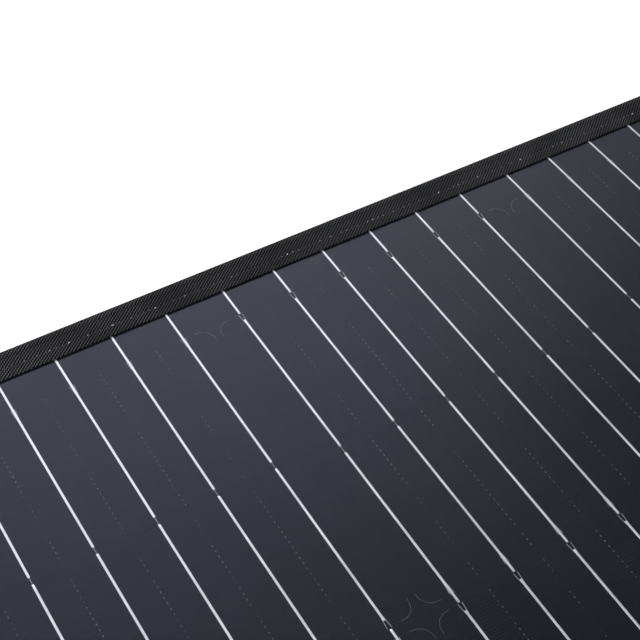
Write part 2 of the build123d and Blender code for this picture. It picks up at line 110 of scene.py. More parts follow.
CLOTH = 0.35 * MM
PRINT_MARGIN = 0.5 * MM                      # from a wafer's edge to its printed lines
BORDER_MARGIN = 0.6 * MM                     # and to the curved lines at its corners
DOTS_MARGIN = 1 * MM                         # and to its dotted lines
FLAT_STEP = 0.03                             # longest strip in a row's flat stretch
BEND_STEP = 0.0005                           # and in one across a gap


def cell_top(row):
    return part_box(f"cells_{row}")[1][1]


def cell_bottom(row):
    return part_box(f"cells_{row}")[0][1]


def column_left(column):
    return CELLS_LEFT + column * COLUMN_PITCH


def ribbon_xs(column):
    return [column_left(column) + (i + 0.5) * RIBBON_PITCH for i in range(RIBBONS)]


def runs_up(column):
    """Neighbouring columns carry the current opposite ways."""
    return column % 2 == 0


def outer_edge_is_far(row):
    return row % 2 == 1


# ---------------------------------------------------------------- node materials
class Material:
    """A node material, with short calls that add a node and join its inputs."""

    def __init__(self, name):
        self.material = bpy.data.materials.new(name)
        self.material.use_nodes = True
        self.tree = self.material.node_tree
        self.tree.nodes.clear()
        self.output = self.tree.nodes.new("ShaderNodeOutputMaterial")

    def add(self, kind, inputs=(), **settings):
        made = self.tree.nodes.new("ShaderNode" + kind)
        for key, value in settings.items():
            setattr(made, key, value)
        for key, value in dict(inputs).items():
            if isinstance(value, bpy.types.NodeSocket):
                self.tree.links.new(value, made.inputs[key])
            else:
                made.inputs[key].default_value = value
        return made

    def math(self, operation, *values):
        return self.add("Math", dict(enumerate(values)), operation=operation).outputs[0]

    def mix(self, factor, first, second):
        made = self.add("Mix", data_type="RGBA")
        for key, value in ((0, factor), (6, first), (7, second)):
            if isinstance(value, bpy.types.NodeSocket):
                self.tree.links.new(value, made.inputs[key])
            else:
                made.inputs[key].default_value = value
        return made.outputs[2]

    def ramp(self, value, low, high):
        """0 at low, 1 at high, and held beyond them."""
        return self.add("MapRange", {"Value": value, "From Min": low, "From Max": high}).outputs[0]

    def position(self):
        return self.add("TexCoord").outputs["Object"]

    def noise(self, scale, detail=2.0, vector=None):
        return self.add("TexNoise", {"Vector": vector or self.position(), "Scale": scale,
                                     "Detail": detail}).outputs[0]

    def bump(self, height, distance, strength=1.0, normal=None):
        inputs = {"Height": height, "Distance": distance, "Strength": strength}
        if normal:
            inputs["Normal"] = normal
        return self.add("Bump", inputs).outputs[0]

    def surface(self, shader):
        self.tree.links.new(shader, self.output.inputs[0])
        return self.material

    def principled(self, inputs):
        return self.surface(self.add("BsdfPrincipled", inputs).outputs[0])


def grey(value, blue=0.0):
    return (value, value, value * (1 + blue), 1)


def cell_material():
    """Etched silicon: dark blue-black, with printed fingers and dotted lines between ribbons."""
    m = Material("cell")
    xyz = m.add("SeparateXYZ", {0: m.position()}).outputs
    across = m.math("SUBTRACT", xyz[0], CELLS_LEFT)
    column = m.math("FLOOR", m.math("DIVIDE", across, COLUMN_PITCH))
    local_x = m.math("SUBTRACT", across, m.math("MULTIPLY", column, COLUMN_PITCH))
    along = m.math("SUBTRACT", xyz[1], cell_bottom(ROWS))
    row = m.math("FLOOR", m.math("DIVIDE", along, ROW_PITCH))
    local_y = m.math("SUBTRACT", along, m.math("MULTIPLY", row, ROW_PITCH))

    cell_number = m.add("CombineXYZ", {0: column, 1: row}).outputs[0]
    tone = m.add("TexWhiteNoise", {"Vector": cell_number}, noise_dimensions="2D").outputs[0]
    cloud = m.noise(9.0, 3.0)
    base = m.mix(tone, (0.0030, 0.0031, 0.0054, 1), (0.0040, 0.0036, 0.0056, 1))
    base = m.mix(m.ramp(cloud, 0.3, 0.7), base, (0.0044, 0.0046, 0.0074, 1))

    # PINGPONG(value, scale) is 0 at every second multiple of scale
    finger = m.ramp(m.math("PINGPONG", local_y, FINGER_PITCH / 2), 0.10 * MM, 0.04 * MM)
    finger = m.math("MULTIPLY", finger, m.ramp(m.noise(35.0, 2.0), 0.35, 0.75))
    colour = m.mix(m.math("MULTIPLY", finger, 0.11), base, grey(0.11, 0.1))

    inside = m.math("MULTIPLY", m.math("GREATER_THAN", local_x, RIBBON_PITCH / 2),
                    m.math("LESS_THAN", local_x, CELL_X - RIBBON_PITCH / 2))
    inside = m.math("MULTIPLY", inside, m.math("GREATER_THAN", local_y, DOTS_MARGIN))
    inside = m.math("MULTIPLY", inside, m.math("LESS_THAN", local_y, CELL_Y - DOTS_MARGIN))
    on_line = m.ramp(m.math("PINGPONG", local_x, RIBBON_PITCH / 2), 0.18 * MM, 0.10 * MM)
    dash = m.ramp(m.math("PINGPONG", local_y, FINGER_PITCH), 0.52 * MM, 0.40 * MM)
    dots = m.math("MULTIPLY", m.math("MULTIPLY", on_line, dash), inside)
    dots = m.math("MULTIPLY", dots, m.ramp(m.noise(75.0, 3.0), 0.38, 0.66))
    colour = m.mix(m.math("MULTIPLY", dots, 0.70), colour, grey(0.15, 0.12))

    return laminated(m, colour, m.noise(1800.0, 1.0))


def backing_material():
    """The black fibre-filled sheet that shows in the gaps and margins, under the film."""
    m = Material("backing")
    weave = m.noise(420.0, 3.0)
    colour = m.mix(m.ramp(weave, 0.3, 0.7), (0.0034, 0.0035, 0.0058, 1),
                   (0.0050, 0.0051, 0.0080, 1))
    return laminated(m, colour, weave)


def ribbon_material():
    """Tinned copper: bright satin silver with faint drawing lines and dull patches."""
    m = Material("ribbon")
    stretched = m.add("Mapping", {"Vector": m.position(), "Scale": (2600, 60, 1)}).outputs[0]
    lines = m.noise(1.0, 2.0, stretched)
    patches = m.noise(90.0, 2.0)
    colour = m.mix(m.ramp(patches, 0.3, 0.7), (0.56, 0.56, 0.59, 1), (0.68, 0.68, 0.71, 1))
    rough = m.ramp(patches, -0.7, 2.8)
    bump = m.bump(lines, 0.02 * MM, 0.5)
    return m.principled({"Base Color": colour, "Metallic": 0.78, "Roughness": rough,
                         "Normal": bump})


def print_material():
    """Silver paste printed on the wafer."""
    m = Material("print")
    grain = m.noise(1500.0, 2.0)
    colour = m.mix(m.ramp(grain, 0.3, 0.7), grey(0.14, 0.06), grey(0.30, 0.06))
    return m.principled({"Base Color": colour, "Metallic": 0.3, "Roughness": 0.5,
                         "Normal": m.bump(grain, 0.02 * MM, 0.5)})


def film_material():
    """Clear fluoropolymer film, with a trace of milkiness. It's bonded down, so its gloss is in
    laminated(), the material of what lies under it."""
    m = Material("film")
    haze = m.add("BsdfDiffuse", {"Color": (0.78, 0.82, 1.0, 1)}).outputs[0]
    clear = m.add("BsdfTransparent", {"Color": (0.985, 0.985, 0.992, 1)}).outputs[0]
    milk = m.add("MapRange", {"Value": m.noise(12.0, 2.0), "From Min": 0.3, "From Max": 0.7,
                              "To Min": 0.0005, "To Max": 0.0015}).outputs[0]
    return m.surface(m.add("MixShader", {0: milk, 1: clear, 2: haze}).outputs[0])


def laminated(m, colour, grain):
    """A dark sheet seen through the bonded film: the film's soft gloss over its colour."""
    rough = m.add("MapRange", {"Value": m.noise(14.0, 2.0), "From Min": 0.3, "From Max": 0.7,
                               "To Min": 0.19, "To Max": 0.25}).outputs[0]
    normal = m.bump(grain, 0.008 * MM, 0.3, m.bump(m.noise(30.0, 2.0), 0.03 * MM, 0.4))
    return m.principled({"Base Color": colour, "Roughness": rough, "IOR": 1.42,
                         "Specular Tint": (0.80, 0.82, 1.0, 1), "Normal": normal})


def tape_material():
    """Black twill-woven polyester tape: slanting ribs of short floats, with a dry sheen. Its
    tape_place attribute holds each point's place on the flat tape, as lay_weave sets it."""
    m = Material("tape")
    place = m.add("Attribute", attribute_name="tape_place").outputs["Vector"]
    xyz = m.add("SeparateXYZ", {0: place}).outputs
    wobble = m.math("MULTIPLY", m.math("SUBTRACT", m.noise(300.0, 2.0, place), 0.5), 3.0)

    def wave(per_metre_along, per_metre_across):
        phase = m.math("ADD", m.math("MULTIPLY", xyz[0], per_metre_along * 2 * math.pi),
                       m.math("MULTIPLY", xyz[1], per_metre_across * 2 * math.pi))
        return m.math("MULTIPLY_ADD", m.math("SINE", m.math("ADD", phase, wobble)), 0.5, 0.5)

    ribs = m.math("POWER", wave(490.0, -620.0), 1.3)
    floats = m.math("MULTIPLY", ribs, m.math("MULTIPLY_ADD", wave(980.0, -30.0), 0.9, 0.15))
    fibre = m.noise(2600.0, 2.0, place)
    height = m.math("ADD", floats, m.math("MULTIPLY", fibre, 0.3))

    # The upper face is paler out by the fold, as far as a groove whose shade is painted dark into
    # the colour below. The ramp counts the fold and the lower face as rim too.
    rim = m.ramp(xyz[1], -4.9 * MM, -4.2 * MM)
    from_groove = m.math("ABSOLUTE", m.math("ADD", xyz[1], 4.5 * MM))
    groove = m.math("SUBTRACT", 1.0, m.ramp(from_groove, 0.2 * MM, 0.8 * MM))
    height = m.math("SUBTRACT", height, m.math("MULTIPLY", groove, 0.2))
    # How pale the painted rib highlight is: paler by the fold, and in random patches.
    ridge_paleness = m.math("MULTIPLY_ADD", rim, 0.35, m.ramp(m.noise(45.0, 3.0, place), 0.35, 0.75))
    # Painted highlight: the colour of the light that the ribs' tops catch.
    ridge_highlight = m.mix(m.math("MINIMUM", ridge_paleness, 1.0), grey(0.038, 0.12), grey(0.076, 0.12))
    # Painted shade and highlight by height: the hollows between the ribs and the groove go
    # near-black, and the rib tops take the painted highlight.
    colour = m.mix(m.ramp(height, 0.24, 0.85), grey(0.0012, 0.12), ridge_highlight)
    return m.principled({"Base Color": colour, "Roughness": 0.85, "Sheen Weight": 0.01,
                         "Sheen Roughness": 0.5, "Specular IOR Level": 0.05,
                         "Normal": m.bump(height, 0.3 * MM, 0.9)})


def thread_material():
    m = Material("thread")
    twist = m.noise(3200.0, 1.0)
    colour = m.mix(twist, grey(0.008), grey(0.028, 0.05))
    return m.principled({"Base Color": colour, "Roughness": 0.8, "Specular IOR Level": 0.2,
                         "Normal": m.bump(twist, 0.06 * MM, 0.8)})


def lint_material():
    """Pale fibre ends that the needle pulled up through the tape."""
    m = Material("lint")
    colour = m.mix(m.ramp(m.noise(120.0, 1.0), 0.3, 0.7), grey(0.15, 0.02), grey(0.62, 0.02))
    return m.principled({"Base Color": colour, "Roughness": 0.9})


def cloth_material():
    """Plain-woven black polyester on the rear face."""
    m = Material("back_cloth")
    xyz = m.add("SeparateXYZ", {0: m.position()}).outputs
    threads_per_metre = 1150.0
    warp = m.math("SINE", m.math("MULTIPLY", xyz[0], 2 * math.pi * threads_per_metre))
    weft = m.math("SINE", m.math("MULTIPLY", xyz[1], 2 * math.pi * threads_per_metre))
    weave = m.math("MULTIPLY_ADD", m.math("MULTIPLY", warp, weft), 0.5, 0.5)
    slub = m.noise(60.0, 3.0)
    height = m.math("ADD", weave, m.math("MULTIPLY", m.noise(3000.0, 1.0), 0.3))
    tone = m.mix(m.ramp(slub, 0.3, 0.7), grey(0.030, 0.03), grey(0.046, 0.03))
    # Painted shade: the weave's hollows go darker than the thread crowns, by height.
    colour = m.mix(m.ramp(height, 0.1, 1.0), grey(0.010, 0.04), tone)
    return m.principled({"Base Color": colour, "Roughness": 0.8, "Sheen Weight": 0.12,
                         "Specular IOR Level": 0.3, "Normal": m.bump(height, 0.12 * MM, 0.8)})


def metal_material(name, colour, rough):
    m = Material(name)
    scuff = m.noise(180.0, 4.0)
    tone = m.mix(m.ramp(scuff, 0.3, 0.75), colour, tuple(0.8 * c for c in colour[:3]) + (1,))
    roughness = m.add("MapRange", {"Value": scuff, "To Min": rough - 0.08,
                                   "To Max": rough + 0.12}).outputs[0]
    return m.principled({"Base Color": tone, "Metallic": 1.0, "Roughness": roughness,
                         "Normal": m.bump(m.noise(1200.0, 2.0), 0.01 * MM, 0.4)})


def plastic_material(name, value, rough, grain=1500.0):
    m = Material(name)
    scuff = m.noise(70.0, 4.0)
    tone = m.mix(m.ramp(scuff, 0.35, 0.8), grey(value), grey(value * 1.5))
    roughness = m.add("MapRange", {"Value": scuff, "To Min": rough - 0.06,
                                   "To Max": rough + 0.1}).outputs[0]
    return m.principled({"Base Color": tone, "Roughness": roughness,
                         "Normal": m.bump(m.noise(grain, 2.0), 0.05 * MM, 0.5)})


CELL = cell_material()
BACKING = backing_material()
RIBBON = ribbon_material()
PRINT = print_material()
FILM = film_material()
TAPE_CLOTH = tape_material()
CLOTH_BLACK = cloth_material()
THREAD_BLACK = thread_material()
LINT = lint_material()


# ---------------------------------------------------------------- mesh building
def make_piece(name, vertices, faces, material, smooth=False):
    mesh = bpy.data.meshes.new(name)
    mesh.from_pydata(vertices, [], faces)
    mesh.materials.append(material)
    mesh.polygons.foreach_set("use_smooth", [smooth] * len(mesh.polygons))
    mesh.update()
    piece = bpy.data.objects.new(name, mesh)
    bpy.context.scene.collection.objects.link(piece)
    return piece


def place_piece(piece, slot, body, other_body=None):
    """Ride a piece on one body, or, given a second body, only bake its place into its mesh. The
    slot is not used.
    """
    if other_body:
        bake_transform(piece)
    else:
        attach(piece, body)
    return piece


class Mesh:
    """Vertices and faces gathered from many small solids."""

    def __init__(self):
        self.vertices, self.faces = [], []

    def add(self, vertices, faces):
        base = len(self.vertices)
        self.vertices += vertices
        self.faces += [tuple(base + i for i in face) for face in faces]

    def prism(self, outline, low, high):
        """A closed solid over a counter-clockwise plan outline."""
        n = len(outline)
        self.add([(x, y, low) for x, y in outline] + [(x, y, high) for x, y in outline],
                 [tuple(range(n))[::-1], tuple(range(n, 2 * n))]
                 + [(i, (i + 1) % n, n + (i + 1) % n, n + i) for i in range(n)])

    def sweep(self, rings):
        """A closed solid through rings of equal length, with both ends capped."""
        n = len(rings[0])
        faces = [tuple(range(n))[::-1], tuple(range((len(rings) - 1) * n, len(rings) * n))]
        for r in range(len(rings) - 1):
            faces += [(r * n + i, r * n + (i + 1) % n, (r + 1) * n + (i + 1) % n, (r + 1) * n + i)
                      for i in range(n)]
        self.add([point for ring in rings for point in ring], faces)

    def piece(self, name, material, smooth=False):
        return make_piece(name, self.vertices, self.faces, material, smooth)


def steps(start, end, longest):
    """Even places from start to end, no further apart than longest."""
    count = max(1, math.ceil(abs(end - start) / longest))
    return [start + (end - start) * i / count for i in range(count + 1)]


def slab(name, ys, material, low, surface):
    """A closed sheet from the low level up to surface(y), in strips along Y, whose sides reach in
    under both side tapes."""
    half = EDGE_X - TAPE_WIDTH + LAMINATE_OVERLAP
    mesh = Mesh()
    mesh.sweep([[(-half, y, surface(y)), (half, y, surface(y)), (half, y, low), (-half, y, low)]
                for y in ys])
    return mesh.piece(name, material)


def fill_level(y):
    """Top of the black fill: up with the cells, and lower past the near end of the last ones."""
    beyond = max(cell_bottom(ROWS) - y, 0)
    return FILL_TOP - (FILL_TOP - CORE_TOP) * min(beyond / FILL_SLOPE, 1)


def film_level(_y):
    return FILM_TOP


def cloth_level(_y):
    return BACK_FACE + CLOTH


def row_stations(row):
    """The y of each strip edge of a row's own flat stretch: its cells, and the end margins."""
    stops = [cell_bottom(row), cell_top(row)]
    if row == 1:
        stops.append(FAR_Y - TAPE_WIDTH + LAMINATE_OVERLAP)
    if row == ROWS:
        stops = [NEAR_Y + TAPE_WIDTH - LAMINATE_OVERLAP, stops[0] - FILL_SLOPE] + stops
    ys = [stops[0]]
    for start, end in zip(stops, stops[1:]):
        ys += steps(start, end, FLAT_STEP)[1:]
    return ys


def flex_points(row):
    """Where the flex zone between a row and the next starts and ends, as points."""
    return (0, cell_bottom(row), 0), (0, cell_top(row + 1), 0)


def make_laminate():
    """Film, backing and rear cloth: a flat stretch in each row and one across each gap."""
    layers = (("film", "film", "front_sheet", FILM, RIBBON_TOP + 0.02 * MM, film_level),
              ("core", "backing", "back_sheet", BACKING, BACK_FACE + CLOTH, fill_level),
              ("back_cloth", "backing", "back_sheet", CLOTH_BLACK, BACK_FACE, cloth_level))
    for label, slot, node, material, low, surface in layers:
        for row in range(1, ROWS + 1):
            ys = row_stations(row)
            flat = place_piece(slab(f"{label}_{row}", ys, material, low, surface), slot,
                               f"row_{row}")
            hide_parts(f"{node}_{row}")
            if row < ROWS:
                start, end = flex_points(row)
                bend = slab(f"{label}_flex_{row}", steps(end[1], start[1], BEND_STEP), material,
                            low, surface)
                place_piece(bend, slot, f"row_{row}", f"row_{row + 1}")


# ---------------------------------------------------------------- cells and their ribbons
def wafer_outline(left, bottom, outer_is_far):
    """Half of a pseudo-square wafer: chamfered corners along its outer edge only."""
    c, w, h = WAFER_CORNER, CELL_X, CELL_Y
    if outer_is_far:
        plan = [(0, 0), (w, 0), (w, h - c), (w - c, h), (c, h), (0, h - c)]
    else:
        plan = [(c, 0), (w - c, 0), (w, c), (w, h), (0, h), (0, c)]
    return [(left + x, bottom + y) for x, y in plan]


def make_cells(row):
    wafers = Mesh()
    for column in range(COLUMNS):
        outline = wafer_outline(column_left(column), cell_bottom(row), outer_edge_is_far(row))
        wafers.prism(outline, CELL_UNDERSIDE, CELL_FACE)
    piece = place_piece(wafers.piece(f"wafers_{row}", CELL), "cell", f"row_{row}")
    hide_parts(f"cells_{row}")


def line_outline(x0, y0, x1, y1, width):
    """A thin printed line between two points, as a counter-clockwise outline."""
    along = Vector((x1 - x0, y1 - y0)).normalized()
    side = Vector((-along.y, along.x)) * width / 2
    return [(x0 - side.x, y0 - side.y), (x1 - side.x, y1 - side.y),
            (x1 + side.x, y1 + side.y), (x0 + side.x, y0 + side.y)]


def corner_curve(column, outer, outer_sign, mirrored):
    """Points of the curved line printed across one chamfered corner of a wafer."""
    reach = WAFER_CORNER - BORDER_MARGIN
    points = []
    for i in range(5):
        angle = math.radians(22.5 * i)
        dx = BORDER_MARGIN + reach * (1 - math.sin(angle)) ** 1.15
        dy = BORDER_MARGIN + reach * (1 - math.cos(angle)) ** 1.15
        x = column_left(column) + (CELL_X - dx if mirrored else dx)
        points.append((x, outer - outer_sign * dy))
    return points


def make_prints(row):
    """Printed silver: a two-tined fork at the wafer's outer edge, one line at its cut edge, and a
    fine curve across each chamfered corner."""
    outer_sign = 1 if outer_edge_is_far(row) else -1
    outer = cell_top(row) if outer_sign > 0 else cell_bottom(row)
    cut = cell_bottom(row) if outer_sign > 0 else cell_top(row)
    prints = Mesh()

    def draw(x0, y0, x1, y1, width):
        prints.prism(line_outline(x0, y0, x1, y1, width), CELL_FACE, CELL_FACE + PRINT_LIFT)

    for column in range(COLUMNS):
        for x in ribbon_xs(column):
            foot = outer - outer_sign * (BARE_OUTER + 1.5 * MM)
            for side in (-1, 1):
                draw(x + side * FORK_FOOT, foot, x + side * FORK_SPREAD,
                     outer - outer_sign * PRINT_MARGIN, PRINT_WIDTH)
            draw(x, cut + outer_sign * PRINT_MARGIN, x,
                 cut + outer_sign * (BARE_CUT + 1 * MM), PRINT_WIDTH)
        for mirrored in (False, True):
            curve = corner_curve(column, outer, outer_sign, mirrored)
            for (x0, y0), (x1, y1) in zip(curve, curve[1:]):
                draw(x0, y0, x1, y1, PRINT_WIDTH / 5)
    place_piece(prints.piece(f"prints_{row}", PRINT), "ribbon", f"row_{row}")


def ribbon_ring(x, y, level):
    """Cross-section of a ribbon, with its upper corners eased."""
    half, ease = RIBBON_WIDTH / 2, 0.06 * MM
    return [(x - half, y, level), (x + half, y, level), (x + half, y, level + FOIL - ease),
            (x + half - ease, y, level + FOIL), (x - half + ease, y, level + FOIL),
            (x - half, y, level + FOIL - ease)]


def ribbon_between(mesh, x, stations):
    """One ribbon along Y through (y, level) stations, taken from near to far."""
    ordered = sorted(stations)
    mesh.sweep([ribbon_ring(x, y, level) for y, level in ordered][::-1])


def make_ribbons(row):
    """The ribbons on the cells' faces, and at the ends of the sheet those to the cross ribbons."""
    runs = Mesh()
    bare_far = BARE_OUTER if outer_edge_is_far(row) else BARE_CUT
    bare_near = BARE_CUT if outer_edge_is_far(row) else BARE_OUTER
    top, bottom = cell_top(row), cell_bottom(row)
    for column in range(COLUMNS):
        for x in ribbon_xs(column):
            jitter = random.uniform(-0.3, 0.3) * MM
            if runs_up(column):
                start, end = bottom + bare_near + jitter, FAR_BUS_Y if row == 1 else top
            else:
                start, end = top - bare_far + jitter, NEAR_BUS_Y if row == ROWS else bottom
            ribbon_between(runs, x, [(start, CELL_FACE), (end, CELL_FACE)])
            if row == 1 and not runs_up(column):
                ribbon_between(runs, x, [(top, FILL_TOP - FOIL / 2), (top + 1 * MM, FILL_TOP),
                                         (FAR_BUS_Y, FILL_TOP)])
            if row == ROWS and runs_up(column):
                ribbon_between(runs, x, [(bottom, FILL_TOP - FOIL / 2),
                                         (bottom - FILL_SLOPE, CORE_TOP), (NEAR_BUS_Y, CORE_TOP)])
    piece = place_piece(runs.piece(f"ribbon_runs_{row}", RIBBON), "ribbon", f"row_{row}")
    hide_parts(f"ribbons_{row}")


def make_ribbon_bends(row):
    """The short stretches across the gap between two rows, each going in under the next cell."""
    bends = Mesh()
    near_edge, far_edge = cell_top(row + 1), cell_bottom(row)
    for column in range(COLUMNS):
        stations = []
        for t in (i / 8 for i in range(9)):
            into = 1 - t if runs_up(column) else t
            level = CELL_FACE - (FOIL + 0.03 * MM) * max(0, (into - 0.75) / 0.25) ** 2
            stations.append((far_edge + (near_edge - far_edge) * t, level))
        for x in ribbon_xs(column):
            ribbon_between(bends, x, stations)
    place_piece(bends.piece(f"ribbon_bends_{row}", RIBBON), "ribbon", f"row_{row}",
                f"row_{row + 1}")


# ---------------------------------------------------------------- edge tape
def tape_profile():
    """Cross-section as (distance from the fold, height) points, from the upper edge round to the
    lower one and back inside. The top has a rolled rim by the fold and a dip at the stitches."""
    top, mid, w = TAPE_TOP / MM, TAPE_TOP / MM / 2, TAPE_WIDTH / MM
    upper = [(w, top - 0.60), (w + 0.04, top - 0.35), (w - 0.12, top - 0.10), (w - 0.5, top - 0.03),
             (w - 1.6, top), (w - 3.0, top - 0.01), (w - 3.9, top - 0.03), (w - 4.6, top - 0.08),
             (w - 5.0, top - 0.15), (w - 5.3, top - 0.18), (w - 5.6, top - 0.15),
             (w - 6.0, top - 0.08), (w - 6.8, top - 0.03), (w - 8.4, top - 0.02),
             (w - 10.0, top - 0.03), (w - 11.1, top - 0.07), (w - 11.7, top - 0.16),
             (w - 12.3, top - 0.07), (w - 12.9, top)]
    fold = [(mid - mid * math.sin(a), mid + mid * math.cos(a))
            for a in (math.radians(15 * i) for i in range(13))]
    lower = [(4.0, 0), (7.5, 0), (w - 5.6, 0.04), (w - 5.3, 0.10), (w - 5.0, 0.04), (w - 2.0, 0),
             (w - 0.2, 0.08), (w + 0.03, 0.32), (w, 0.60)]
    inside = [(w - 0.2, 0.66), (2.2, 0.66), (2.2, top - 0.66), (w - 0.2, top - 0.66)]
    return [(d * MM, z * MM) for d, z in upper + fold + lower + inside]


PROFILE = tape_profile()
PROFILE_LENGTHS = [0.0]
for (d0, z0), (d1, z1) in zip(PROFILE, PROFILE[1:]):
    PROFILE_LENGTHS.append(PROFILE_LENGTHS[-1] + math.hypot(d1 - d0, z1 - z0))

# Each side of the sheet: where its fold lies, which way is inward, and which axis it runs along
SIDES = {"far": (FAR_Y, -1, 0), "near": (NEAR_Y, 1, 0), "left": (-EDGE_X, 1, 1),
         "right": (EDGE_X, -1, 1)}


def tape_point(side, along, inset, height):
    """A point given by its place along a side, its distance in from the fold, and its height."""
    fold, inward, axis = SIDES[side]
    if axis == 0:
        return along, fold + inward * inset, height
    return fold + inward * inset, along, height


def tape_relief(side, along, inset, height):
    """The height lowered by small waves in the upper face, and by the pull of each stitch."""
    seed = {"far": 0, "near": 7, "left": 13, "right": 19}[side]
    slow = noise.noise(Vector((along * 28, inset * 60, seed)))
    quick = noise.noise(Vector((along * 190, inset * 150, seed + 3)))
    lift = (0.05 * slow + 0.03 * quick) * MM
    pull = math.exp(-((inset - STITCH_INSET) / (0.8 * MM)) ** 2)
    pull *= 0.5 + 0.5 * math.cos(2 * math.pi * along / STITCH)
    on_top = height > TAPE_TOP * 0.8
    drop = (0.16 * MM * pull + 0.05 * MM - lift) if on_top else 0.0
    return height - max(0.0, drop)


def tape_run(name, side, ends):
    """A stretch of tape. Each end is (place along the side, mitre), and a mitre of 1 or -1 cuts
    the end at the corner's diagonal."""
    (start, start_mitre), (end, end_mitre) = ends
    rings = []
    for t in steps(0.0, 1.0, STITCH / 4 / abs(end - start)):
        ring = []
        for inset, height in PROFILE:
            low = start + start_mitre * inset
            high = end - end_mitre * inset
            along = low + (high - low) * t
            ring.append(tape_point(side, along, inset, tape_relief(side, along, inset, height)))
        rings.append(ring)
    mesh = Mesh()
    mesh.sweep(rings if side in ("far", "left") else [ring[::-1] for ring in rings])
    return mesh.piece(name, TAPE_CLOTH, smooth=True)


def lay_weave(piece, side):
    """Gives each vertex its place on the flat tape, along and across it, for the weave."""
    fold, inward, axis = SIDES[side]
    middle = TAPE_TOP / 2
    places = []
    for vertex in piece.data.vertices:
        along, inset = vertex.co[axis], inward * (vertex.co[1 - axis] - fold)
        if inset < middle:
            turned = math.pi / 2 - math.atan2(vertex.co.z - middle, middle - inset)
            across = middle * turned - middle
        else:
            across = -inset if vertex.co.z > middle else middle * (math.pi - 2) + inset
        places += [along, across, 0.0]
    attribute = piece.data.attributes.new("tape_place", "FLOAT_VECTOR", "POINT")
    attribute.data.foreach_set("vector", places)


def eyelet_centres():
    return [(sx * (EDGE_X - EYELET_INSET), sy * (FAR_Y - EYELET_INSET))
            for sx in (-1, 1) for sy in (-1, 1)]


def cut_eyelet_holes(piece, centres):
    """Round holes through a tape, for the eyelets' barrels."""
    cutters = Mesh()
    for x, y in centres:
        circle = [(x + EYELET_HOLE * math.cos(a), y + EYELET_HOLE * math.sin(a))
                  for a in (2 * math.pi * i / 48 for i in range(48))]
        cutters.prism(circle, -2 * MM, TAPE_TOP + 2 * MM)
    cutter = cutters.piece("cutter", TAPE_CLOTH)
    cut = piece.modifiers.new("holes", "BOOLEAN")
    cut.operation, cut.solver, cut.object = "DIFFERENCE", "EXACT", cutter
    depsgraph = bpy.context.evaluated_depsgraph_get()
    mesh = bpy.data.meshes.new_from_object(piece.evaluated_get(depsgraph), depsgraph=depsgraph)
    piece.modifiers.clear()
    piece.data = mesh
    bpy.data.objects.remove(cutter)


def make_tapes():
    """The bound edge: one tape at each end, and side tapes in a stretch for each row and one across
    each gap.
    """
    holes = eyelet_centres()
    for side, row in (("far", 1), ("near", ROWS)):
        piece = tape_run(f"{side}_tape", side, ((-EDGE_X, 1), (EDGE_X, 1)))
        cut_eyelet_holes(piece, [c for c in holes if (c[1] > 0) == (side == "far")])
        lay_weave(piece, side)
        place_piece(piece, "binding", f"row_{row}")
        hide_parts(f"{side}_binding")
    for side in ("left", "right"):
        for row in range(1, ROWS + 1):
            low = (NEAR_Y, 1) if row == ROWS else (cell_bottom(row), 0)
            high = (FAR_Y, 1) if row == 1 else (cell_top(row), 0)
            piece = tape_run(f"{side}_tape_{row}", side, (low, high))
            if row in (1, ROWS):
                cut_eyelet_holes(piece, [c for c in holes if (c[1] > 0) == (row == 1)
                                         and (c[0] > 0) == (side == "right")])
            lay_weave(piece, side)
            place_piece(piece, "binding", f"row_{row}")
            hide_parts(f"side_binding_{row}")
            if row < ROWS:
                start, end = flex_points(row)
                bend = tape_run(f"{side}_tape_flex_{row}", side, ((end[1], 0), (start[1], 0)))
                lay_weave(bend, side)
                place_piece(bend, "binding", f"row_{row}", f"row_{row + 1}")


def bend_line(row):
    """Where the sheet bends after this row, in the middle of the gap."""
    return cell_bottom(row) - (ROW_PITCH - CELL_Y) / 2


def row_at(y):
    """The row whose cells, or the gap after them, lie at this y."""
    for row in range(1, ROWS):
        if y > bend_line(row):
            return row
    return ROWS


def near_eyelet(x, y):
    nearest = min(math.dist((x, y), centre) for centre in eyelet_centres())
    return nearest < EYELET_FLANGE + STITCH


def near_bend(y):
    return min(abs(y - bend_line(row)) for row in range(1, ROWS)) <= LINT_CLEAR


def stitch_rings(side, start, end, inset, height, radius):
    """One stitch: a thread that rises out of its hole, runs along and goes back down."""
    rings = []
    sides = 6
    for t, sink, share in ((0.0, 0.24, 0.7), (0.14, 0.05, 1.0), (0.5, 0.0, 1.05),
                           (0.86, 0.05, 1.0), (1.0, 0.24, 0.7)):
        along = start + (end - start) * t
        middle = height - sink * MM if height > TAPE_TOP / 2 else height + sink * MM
        rings.append([tape_point(side, along, inset + radius * share * math.cos(a),
                                 middle + radius * share * math.sin(a))
                      for a in (2 * math.pi * i / sides for i in range(sides))])
    return rings


def lint_rings(side, along, inset, size):
    """A short bent tuft, lying on the tape."""
    turn = random.uniform(0, math.pi)
    length = size * random.uniform(1.4, 3.4)
    rings = []
    sides = 6
    for t in (-1, -0.5, 0, 0.5, 1):
        thick = size * (1 - 0.75 * t * t) * 0.8
        middle_along = along + math.cos(turn) * length * t + 0.2 * size * t * t
        middle_inset = inset + math.sin(turn) * length * t * 0.6
        rings.append([tape_point(side, middle_along + thick * math.sin(turn) * math.cos(a),
                                 middle_inset - thick * math.cos(turn) * math.cos(a),
                                 TAPE_TOP - 0.08 * MM + thick * 0.6 * math.sin(a))
                      for a in (2 * math.pi * i / sides for i in range(sides))])
    return rings


